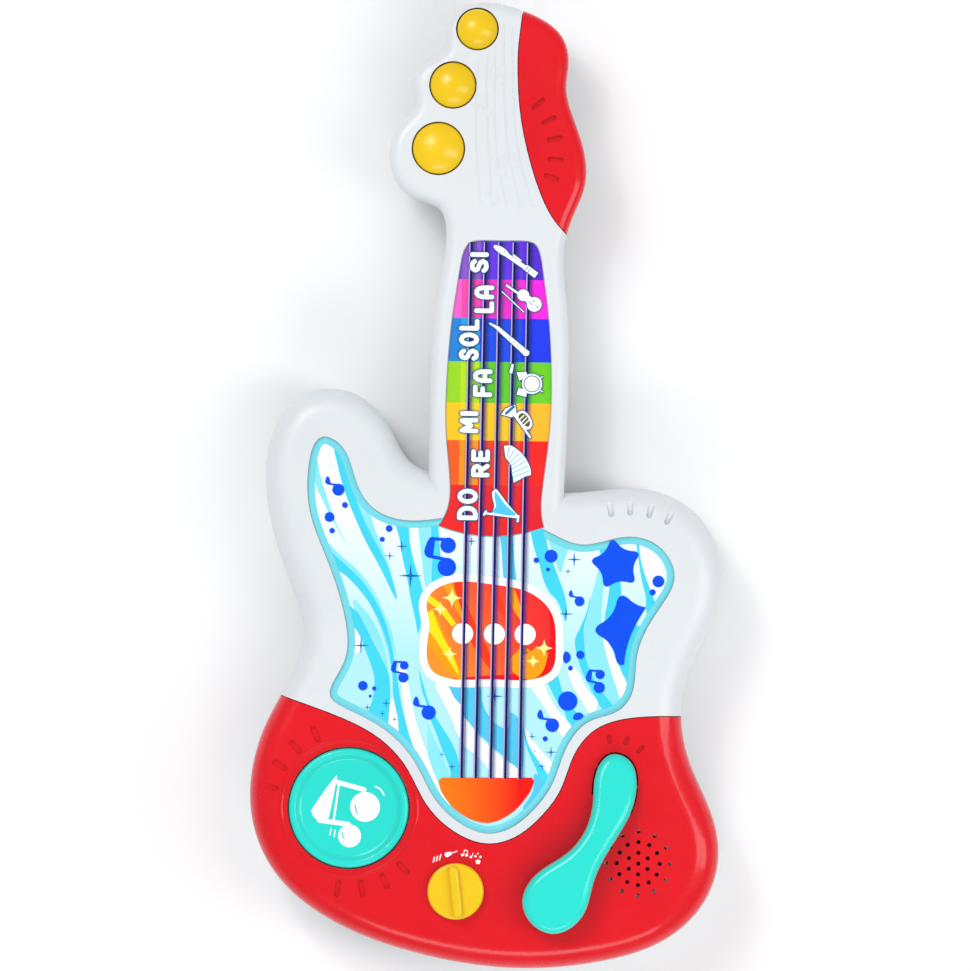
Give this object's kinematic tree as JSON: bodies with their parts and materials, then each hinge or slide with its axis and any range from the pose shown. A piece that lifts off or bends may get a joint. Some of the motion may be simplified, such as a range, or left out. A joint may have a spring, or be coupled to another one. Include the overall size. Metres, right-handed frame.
{
  "type": "toy electric guitar",
  "caption": "Plastic toy electric guitar with touch neck, peg buttons, drum button, selector knob, tremolo lever, lit window, speaker and battery case.",
  "frame": {"origin": "centre of the footprint, on the plane of the body's back, on which the toy lies", "axes": "+X to the right of the face, +Y from the body along the neck to the head, +Z out of the playing face"},
  "size_m": [0.2191, 0.45, 0.0601],
  "materials": {
    "white_shell": "satin white moulding",
    "red_cover": "glossy red moulding",
    "printed_film": "printed adhesive film",
    "neck_film": "printed membrane",
    "window": "tinted clear lens",
    "turquoise": "glossy turquoise moulding",
    "yellow": "glossy yellow moulding",
    "board": "green circuit board",
    "black_part": "black moulding",
    "silicone": "translucent silicone",
    "steel": "zinc plated",
    "magnet": "ferrite",
    "paper_cone": "pressed paper",
    "battery": "plain sleeve",
    "wire": "insulated wire",
    "ribbon": "flat cable",
    "led": "clear lens"
  },
  "bodies": {
    "guitar": {"front_shell": "white_shell", "rear_shell": "white_shell", "lower_cover": "red_cover", "head_cover": "red_cover", "body_label": "printed_film", "neck_label": "neck_film", "light_window": "window", "battery_door": "white_shell", "battery_door_screw": "steel", "battery_box": "black_part", "battery_plates": "steel", "battery_springs": "steel", "battery_left": "battery", "battery_middle": "battery", "battery_right": "battery", "power_switch": "black_part", "main_board": "board", "light_board": "board", "lights": "led", "neck_board": "board", "neck_pads": "silicone", "peg_board": "board", "selector_switch": "black_part", "lever_pin": "steel", "lever_switch": "black_part", "speaker_basket": "steel", "speaker_cone": "paper_cone", "speaker_magnet": "magnet", "speaker_clamp": "steel", "neck_ribbon": "ribbon", "head_ribbon": "ribbon", "speaker_leads": "wire", "battery_leads": "wire", "light_leads": "wire", "case_screws": "steel", "neck_screws": "steel", "board_screws": "steel", "drum_spring": "silicone", "peg_spring_upper": "silicone", "peg_spring_middle": "silicone", "peg_spring_lower": "silicone", "lever_spring": "silicone"},
    "drum": {"drum_button": "turquoise"},
    "peg_upper": {"peg_button_upper": "yellow"},
    "peg_middle": {"peg_button_middle": "yellow"},
    "peg_lower": {"peg_button_lower": "yellow"},
    "knob": {"selector_knob": "yellow", "selector_shaft": "black_part"},
    "lever": {"tremolo_lever": "turquoise"},
    "slider": {"power_slider": "black_part"}
  },
  "joints": [
    {"name": "drum_press", "type": "slide", "parent": "guitar", "child": "drum", "axis": [0, 0, -1], "range_m": [0, 0.002], "stiffness_N_per_m": 600, "springref_m": -0.002, "deforming": ["drum_spring"]},
    {"name": "knob_turn", "type": "hinge", "parent": "guitar", "child": "knob", "pos_m": [-0.0128, -0.1888, 0.048], "axis": [0, 0, 1], "range_deg": [-44, 22]},
    {"name": "lever_press", "type": "hinge", "parent": "guitar", "child": "lever", "pos_m": [0.0606, -0.1338, 0.039], "axis": [0.8949, -0.4462, 0], "range_deg": [0, 2.8], "stiffness_Nm_per_rad": 1.2, "springref_deg": -4.58, "deforming": ["lever_spring"]},
    {"name": "power_slide", "type": "slide", "parent": "guitar", "child": "slider", "axis": [1, 0, 0], "range_m": [0, 0.006]},
    {"name": "peg_upper_press", "type": "slide", "parent": "guitar", "child": "peg_upper", "axis": [0, 0, -1], "range_m": [0, 0.0018], "stiffness_N_per_m": 400, "springref_m": -0.002, "deforming": ["peg_spring_upper"]},
    {"name": "peg_middle_press", "type": "slide", "parent": "guitar", "child": "peg_middle", "axis": [0, 0, -1], "range_m": [0, 0.0018], "stiffness_N_per_m": 400, "springref_m": -0.002, "deforming": ["peg_spring_middle"]},
    {"name": "peg_lower_press", "type": "slide", "parent": "guitar", "child": "peg_lower", "axis": [0, 0, -1], "range_m": [0, 0.0018], "stiffness_N_per_m": 400, "springref_m": -0.002, "deforming": ["peg_spring_lower"]}
  ]
}
